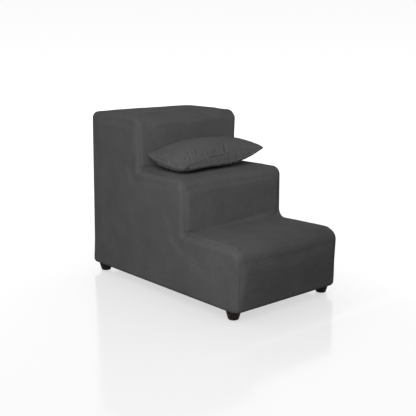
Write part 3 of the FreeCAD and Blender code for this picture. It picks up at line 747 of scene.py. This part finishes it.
class Finish:
    """A node material being put together around its Principled shader."""

    def __init__(self, name, roughness, specular=0.5, metallic=0.0, sheen=0.0):
        self.material = bpy.data.materials.new(name)
        self.material.use_nodes = True
        self.tree = self.material.node_tree
        self.shader = self.tree.nodes["Principled BSDF"]
        self.shader.inputs["Roughness"].default_value = roughness
        self.shader.inputs["Specular IOR Level"].default_value = specular
        self.shader.inputs["Metallic"].default_value = metallic
        self.shader.inputs["Sheen Weight"].default_value = sheen
        self.shader.inputs["Sheen Roughness"].default_value = 0.45
        self.place = self.node("ShaderNodeTexCoord").outputs["Object"]
        self.relief = None

    def node(self, kind, **settings):
        """A new node with some of its settings."""
        node = self.tree.nodes.new(kind)
        for name, value in settings.items():
            setattr(node, name, value)
        return node

    def give(self, socket, value):
        """Sets a socket, or links it if the value is another node's output."""
        if isinstance(value, bpy.types.NodeSocket):
            self.tree.links.new(value, socket)
        else:
            socket.default_value = value

    def math(self, operation, first, second=0.0):
        node = self.node("ShaderNodeMath", operation=operation)
        self.give(node.inputs[0], first)
        self.give(node.inputs[1], second)
        return node.outputs[0]

    def mix(self, share, first, second):
        node = self.node("ShaderNodeMix", data_type="FLOAT")
        self.give(node.inputs["Factor"], share)
        self.give(node.inputs["A"], first)
        self.give(node.inputs["B"], second)
        return node.outputs["Result"]

    def stretched(self, scale):
        """The object's coordinates, scaled along each axis."""
        node = self.node("ShaderNodeMapping")
        node.inputs["Scale"].default_value = scale
        self.give(node.inputs["Vector"], self.place)
        return node.outputs["Vector"]

    def axis(self, letter):
        node = self.node("ShaderNodeSeparateXYZ")
        self.give(node.inputs[0], self.place)
        return node.outputs[letter]

    def noise(self, scale, detail=3.0, place=None, roughness=0.5):
        node = self.node("ShaderNodeTexNoise")
        self.give(node.inputs["Vector"], place or self.place)
        node.inputs["Scale"].default_value = scale
        node.inputs["Detail"].default_value = detail
        node.inputs["Roughness"].default_value = roughness
        return node.outputs["Fac"]

    def cells(self, scale):
        node = self.node("ShaderNodeTexVoronoi")
        self.give(node.inputs["Vector"], self.place)
        node.inputs["Scale"].default_value = scale
        return node.outputs["Distance"]

    def waves(self, pitch):
        """Sum of sines along the three axes: on any flat face a grid of small knots."""
        total = None
        for letter in "XYZ":
            turn = self.math("MULTIPLY", self.axis(letter), math.tau / pitch)
            wave = self.math("SINE", turn)
            total = wave if total is None else self.math("ADD", total, wave)
        return total

    def pulse(self, value, width):
        """1 where a value is near zero, fading to 0 at the width."""
        near = self.node("ShaderNodeMapRange", interpolation_type="SMOOTHSTEP")
        self.give(near.inputs["Value"], self.math("ABSOLUTE", value))
        near.inputs["From Min"].default_value = 0.0
        near.inputs["From Max"].default_value = width
        near.inputs["To Min"].default_value = 1.0
        near.inputs["To Max"].default_value = 0.0
        return near.outputs["Result"]

    def colours(self, value, stops):
        """The colour of a value between 0 and 1 on a ramp of (place, colour) stops."""
        ramp = self.node("ShaderNodeValToRGB")
        elements = ramp.color_ramp.elements
        while len(elements) < len(stops):
            elements.new(0.5)
        for element, (at, colour) in zip(elements, stops):
            element.position = at
            element.color = (*colour, 1)
        self.give(ramp.inputs["Fac"], value)
        return ramp.outputs["Color"]

    def base(self, colour):
        self.give(self.shader.inputs["Base Color"], colour)

    def rough(self, low_value, high_value, value):
        self.give(self.shader.inputs["Roughness"], self.mix(value, low_value, high_value))

    def bump(self, height, distance, strength):
        """Adds a layer of small relief on top of those before it."""
        node = self.node("ShaderNodeBump")
        node.inputs["Strength"].default_value = strength
        node.inputs["Distance"].default_value = distance
        self.give(node.inputs["Height"], height)
        if self.relief is not None:
            self.give(node.inputs["Normal"], self.relief)
        self.relief = node.outputs["Normal"]
        self.give(self.shader.inputs["Normal"], self.relief)


def grey(tone, share):
    """A share of a grey, very slightly warm."""
    return (tone * share, tone * share, tone * share * 0.995)


def napped_cloth(name, tone, seams=None):
    """Short-napped microfibre: cloudy brushing, fine fibres, a small weave and a little sheen."""
    finish = Finish(name, 0.95, specular=0.02, sheen=0.02)
    clouds = finish.noise(13, 3)
    brushed = finish.noise(85, 4, roughness=0.6)
    fibres = finish.noise(900, 2)
    cloudy = finish.mix(0.42, clouds, brushed)
    mixed = finish.mix(0.30, cloudy, fibres)
    seam = None
    if seams is not None:
        seam = seams(finish)
        mixed = finish.math("SUBTRACT", mixed, finish.math("MULTIPLY", seam, 0.10))
    finish.base(finish.colours(mixed, [
        (0.26, grey(tone, 0.74)), (0.42, grey(tone, 0.93)), (0.54, grey(tone, 1.04)),
        (0.72, grey(tone, 1.22))]))
    finish.rough(0.90, 1.0, brushed)
    finish.bump(brushed, 0.0009, 0.35)
    finish.bump(fibres, 0.00035, 0.5)
    finish.bump(finish.waves(0.0011), 0.00012, 0.5)
    if seam is not None:
        finish.bump(finish.math("MULTIPLY", seam, -1.0), 0.0009, 0.8)
    return finish.material


SEAM_SIDE = high("cover_steps", X)
SEAM_BACK = low("cover_back", Y)
SEAM_WIDE = 0.0011


def cover_seams(finish):
    """The sewn lines beside the cover's side edges and across its back edge."""
    side = finish.math("SUBTRACT", finish.math("ABSOLUTE", finish.axis("X")), SEAM_SIDE)
    back = finish.math("SUBTRACT", finish.axis("Y"), SEAM_BACK)
    between = finish.math("LESS_THAN", side, 0.0)
    line = finish.pulse(side, SEAM_WIDE)
    across = finish.math("MULTIPLY", finish.pulse(back, SEAM_WIDE), between)
    return finish.math("MAXIMUM", line, across)


def wood(name, pale, dark, grain, bands=None):
    """Planed wood: long grain along one axis, and the layers of a board along another."""
    finish = Finish(name, 0.6, specular=0.3)
    streaks = finish.noise(1, 5, finish.stretched(grain), 0.6)
    fine = finish.noise(2.2, 3, finish.stretched([value * 3 for value in grain]))
    figure = finish.mix(0.35, streaks, fine)
    if bands is not None:
        letter, pitch = bands
        turn = finish.math("MULTIPLY", finish.axis(letter), math.tau / pitch)
        layers = finish.math("MULTIPLY", finish.math("SINE", turn), 0.07)
        figure = finish.math("ADD", figure, layers)
    finish.base(finish.colours(figure, [(0.30, dark), (0.50, pale), (0.75, pale)]))
    finish.rough(0.50, 0.72, fine)
    finish.bump(figure, 0.0006, 0.4)
    return finish.material


def open_foam(name):
    """Yellowish open-cell foam."""
    finish = Finish(name, 0.95, specular=0.15)
    cells = finish.cells(700)
    clouds = finish.noise(30, 3)
    finish.base(finish.colours(finish.mix(0.4, cells, clouds), [
        (0.15, (0.52, 0.44, 0.25)), (0.45, (0.78, 0.70, 0.47)), (0.8, (0.86, 0.79, 0.58))]))
    finish.bump(cells, 0.0009, 0.7)
    return finish.material


def fibre_filling(name):
    """White tufted polyester fibre."""
    finish = Finish(name, 0.9, specular=0.2, sheen=0.3)
    tufts = finish.noise(120, 5, roughness=0.7)
    finish.base(finish.colours(tufts, [(0.3, (0.70, 0.70, 0.68)), (0.7, (0.88, 0.88, 0.86))]))
    finish.bump(tufts, 0.002, 0.7)
    return finish.material


def steel(name, tone, roughness):
    """Turned or drawn metal: fine scratches and a slightly uneven gloss."""
    finish = Finish(name, roughness, metallic=1.0)
    scratches = finish.noise(60, 4, finish.stretched((1, 1, 14)))
    dull = finish.noise(240, 3)
    finish.base(finish.colours(dull, [(0.3, [value * 0.85 for value in tone]), (0.7, tone)]))
    finish.rough(roughness * 0.75, roughness * 1.3, scratches)
    finish.bump(scratches, 0.0001, 0.3)
    return finish.material


def moulded_plastic(name):
    """Near-black brown plastic with a fine cast texture, scuffed a little duller low down."""
    finish = Finish(name, 0.5, specular=0.06)
    grain = finish.noise(650, 3)
    clouds = finish.noise(70, 3)
    finish.base(finish.colours(clouds, [(0.3, (0.0050, 0.0036, 0.0026)),
                                        (0.7, (0.0085, 0.0060, 0.0042))]))
    height = finish.axis("Z")
    worn = finish.pulse(height, 0.006)
    finish.rough(0.36, 0.60, finish.math("MAXIMUM", finish.math("MULTIPLY", clouds, 0.4), worn))
    finish.bump(grain, 0.0002, 0.35)
    return finish.material


def nonwoven(name):
    """Black spun-bonded cloth with its pattern of welded dots."""
    finish = Finish(name, 0.85, specular=0.25)
    fibres = finish.noise(260, 4, finish.stretched((1, 2.6, 1)), 0.7)
    dots = finish.cells(420)
    finish.base(finish.colours(finish.mix(0.4, fibres, dots), [
        (0.2, (0.010, 0.010, 0.011)), (0.7, (0.028, 0.028, 0.030))]))
    finish.bump(dots, 0.0003, 0.5)
    return finish.material


def woven_tape(name):
    """The dark woven tape of a zip."""
    finish = Finish(name, 0.75, specular=0.25)
    weave = finish.waves(0.0007)
    fibres = finish.noise(500, 2)
    finish.base(finish.colours(finish.mix(0.3, fibres, weave), [
        (0.1, grey(0.020, 1)), (0.8, grey(0.042, 1))]))
    finish.bump(weave, 0.0002, 0.6)
    return finish.material


def paint(item, material):
    item.data.materials.clear()
    item.data.materials.append(material)


PALE_PLY, DARK_PLY = (0.62, 0.45, 0.27), (0.42, 0.27, 0.14)
PALE_PINE, DARK_PINE = (0.68, 0.48, 0.27), (0.50, 0.31, 0.15)
PLY_LAYER = 0.0028
FINISHES = {
    "cover_fabric": napped_cloth("cover_cloth", 0.041, cover_seams),
    "cushion_fabric": napped_cloth("cushion_cloth", 0.042),
    "filling": fibre_filling("filling_fibre"),
    "foam": open_foam("foam_open"),
    "screw_steel": steel("screw_zinc", (0.60, 0.59, 0.56), 0.34),
    "foot_plastic": moulded_plastic("foot_moulded"),
    "dust_cloth": nonwoven("dust_nonwoven"),
    "zip_tape": woven_tape("zip_woven"),
    "zip_metal": steel("zip_gunmetal", (0.16, 0.16, 0.17), 0.3),
}
LONG_GRAIN = {X: (4, 60, 60), Y: (60, 4, 60), Z: (60, 60, 4)}
PINES = [wood(f"pine_{axis}", PALE_PINE, DARK_PINE, LONG_GRAIN[axis]) for axis in (X, Y, Z)]
PLIES = [wood(f"plywood_{axis}", PALE_PLY, DARK_PLY, LONG_GRAIN[grain], ("XYZ"[axis], PLY_LAYER))
         for axis, grain in ((X, Y), (Y, X), (Z, X))]
SLOTS = {part["node"]: part["material_slot"] for part in frame["record"]["subparts"]}


def node_finish(name):
    """The finish of a CAD node: wood by the way its board lies, the rest by its slot."""
    slot = SLOTS[name]
    if slot not in ("pine", "plywood"):
        return FINISHES[slot]
    sides = [b - a for a, b in zip(*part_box(name))]
    if slot == "pine":
        return PINES[sides.index(max(sides))]
    return PLIES[sides.index(min(sides))]


paint(cover, FINISHES["cover_fabric"])
paint(cushion, FINISHES["cushion_fabric"])
paint(filling, FINISHES["filling"])
paint(dust_sheet, FINISHES["dust_cloth"])
for foam in foams:
    paint(foam, FINISHES["foam"])
for name, node in frame["nodes"].items():
    paint(node, node_finish(name))


# ---------------------------------------------------------------- floor, light and camera

WHITE = (1, 1, 1, 1)
FLOOR_HALF = 30


def plain_material(name, values):
    """A material with some of its shader's inputs set by name."""
    material = bpy.data.materials.new(name)
    material.use_nodes = True
    inputs = material.node_tree.nodes["Principled BSDF"].inputs
    for socket, value in values.items():
        inputs[socket].default_value = value
    return material


def add_floor():
    """A white floor that glows a little, as a lit studio sweep does, with a faint gloss."""
    corners = [(FLOOR_HALF * x, FLOOR_HALF * y, 0) for x, y in ((-1, -1), (1, -1), (1, 1), (-1, 1))]
    floor = new_object("floor", corners, [(0, 1, 2, 3)])
    paint(floor, plain_material("floor_white", {
        "Base Color": (0.50, 0.50, 0.50, 1),
        "Roughness": 0.13,
        "Specular IOR Level": 0.35,
        "Emission Color": WHITE,
        "Emission Strength": 0.60,
    }))
    floor.visible_diffuse = False
    return floor


def add_softbox(name, place, target, size, power):
    """A square area lamp that shines at a target."""
    lamp = bpy.data.lights.new(name, "AREA")
    lamp.shape = "SQUARE"
    lamp.size = size
    lamp.energy = power
    item = bpy.data.objects.new(name, lamp)
    item.location = place
    item.rotation_euler = (Vector(target) - Vector(place)).to_track_quat("-Z", "Y").to_euler()
    scene.collection.objects.link(item)
    return item


def leave_unlit(lamp, item):
    """Keeps a lamp's light off an item, as a screen beside the lamp would."""
    unlit = bpy.data.collections.new("unlit")
    unlit.objects.link(item)
    unlit.collection_objects[0].light_linking.link_state = "EXCLUDE"
    lamp.light_linking.receiver_collection = unlit


def add_scrim():
    """A fine net, unseen by the camera, that takes a third of the light off the lowest riser."""
    x0, x1, y, z0, z1 = -0.36, 0.32, -0.50, 0.03, 0.37
    corners = [(x0, y, z0), (x1, y, z0), (x1, y, z1), (x0, y, z1)]
    scrim = new_object("scrim", corners, [(0, 1, 2, 3)])
    paint(scrim, plain_material("scrim_net", {
        "Base Color": (0.01, 0.01, 0.01, 1),
        "Specular IOR Level": 0.0,
        "Alpha": 0.32,
    }))
    scrim.visible_camera = False
    scrim.visible_glossy = False


def add_world():
    """White at eye level, half as bright straight above, and dim below the horizon."""
    world = bpy.data.worlds.new("studio")
    world.use_nodes = True
    tree = world.node_tree
    place = tree.nodes.new("ShaderNodeTexCoord")
    parts = tree.nodes.new("ShaderNodeSeparateXYZ")
    share = tree.nodes.new("ShaderNodeValToRGB")
    half_up = tree.nodes.new("ShaderNodeMapRange")
    half_up.inputs["From Min"].default_value = -1.0
    elements = share.color_ramp.elements
    elements[0].position, elements[0].color = 0.375, (0.15, 0.15, 0.15, 1)
    elements[1].position, elements[1].color = 0.49, WHITE
    overhead = elements.new(1.0)
    overhead.color = (0.5, 0.5, 0.5, 1)
    tree.links.new(place.outputs["Generated"], parts.inputs[0])
    tree.links.new(parts.outputs["Z"], half_up.inputs["Value"])
    tree.links.new(half_up.outputs["Result"], share.inputs["Fac"])
    tree.links.new(share.outputs["Color"], tree.nodes["Background"].inputs["Strength"])
    tree.nodes["Background"].inputs["Color"].default_value = WHITE
    scene.world = world


# The camera fitted to the photo: its place, lens, heading clockwise from +Y, downward pitch
# and roll.
CAMERA_PLACE = (-1.5673, -1.7909, 0.7534)
CAMERA_LENS = 66.13
CAMERA_ANGLES = (41.13, 12.20, 0.15)


def add_camera():
    """The camera, its axes worked out from its heading, pitch and roll."""
    camera = bpy.data.cameras.new("camera")
    camera.sensor_width = 36
    camera.lens = CAMERA_LENS
    camera.clip_end = 100
    heading, pitch, roll = (math.radians(angle) for angle in CAMERA_ANGLES)
    ahead = Vector((math.sin(heading) * math.cos(pitch), math.cos(heading) * math.cos(pitch),
                    -math.sin(pitch)))
    level = Vector((math.cos(heading), -math.sin(heading), 0))
    upright = level.cross(ahead)
    right = level * math.cos(roll) + upright * math.sin(roll)
    axes = Matrix((right, ahead.cross(right) * -1, ahead * -1)).transposed()
    item = bpy.data.objects.new("camera", camera)
    item.matrix_world = Matrix.Translation(CAMERA_PLACE) @ axes.to_4x4()
    scene.collection.objects.link(item)
    scene.camera = item


floor = add_floor()
add_scrim()
add_world()
key = add_softbox("key", place=(-1.63, -1.37, 1.19), target=(0, -0.05, 0.25), size=1.0, power=90)
leave_unlit(key, floor)
add_camera()
scene.view_settings.view_transform = "Standard"
